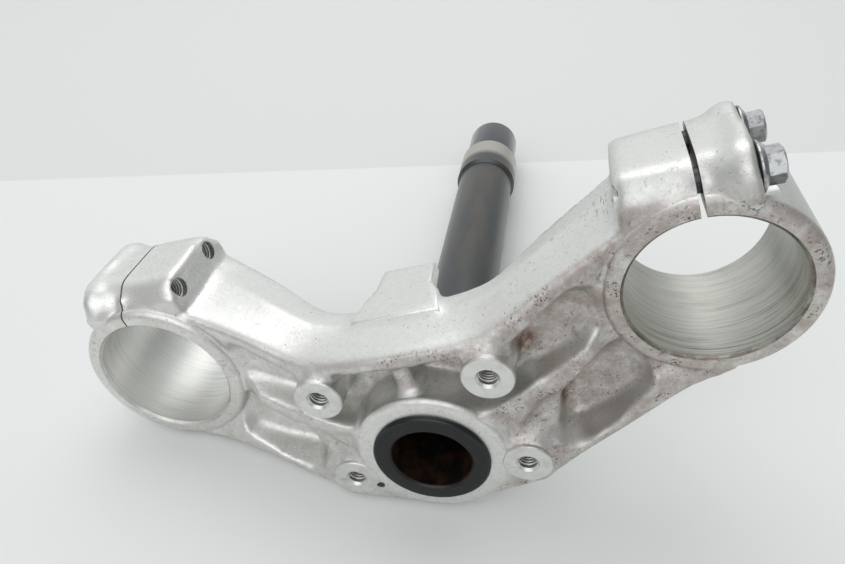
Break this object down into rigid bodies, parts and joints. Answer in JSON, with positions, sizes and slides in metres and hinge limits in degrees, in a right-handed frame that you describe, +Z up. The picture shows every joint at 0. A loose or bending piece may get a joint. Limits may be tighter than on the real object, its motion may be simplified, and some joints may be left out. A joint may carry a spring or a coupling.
{
  "type": "motorcycle lower triple clamp",
  "caption": "Cast lower fork yoke with split fork clamps, ribbed pocketed arms, threaded bosses and a pressed-in hollow steering stem.",
  "frame": {"origin": "on the table under the middle of the object's box", "axes": "+Y runs along the table towards the stem's far end, +Z is up from the table, +X is to the picture's right"},
  "size_m": [0.2656, 0.2802, 0.1501],
  "materials": {
    "cast_aluminium": "satin cast, machined at the bores and bosses",
    "dark_steel": "dark oxide, ground bright at the bearing seat",
    "plated_steel": "zinc plated, worn"
  },
  "bodies": {
    "root": {"yoke": "cast_aluminium", "steering_stem": "dark_steel", "pinch_bolts": "plated_steel"}
  },
  "joints": []
}
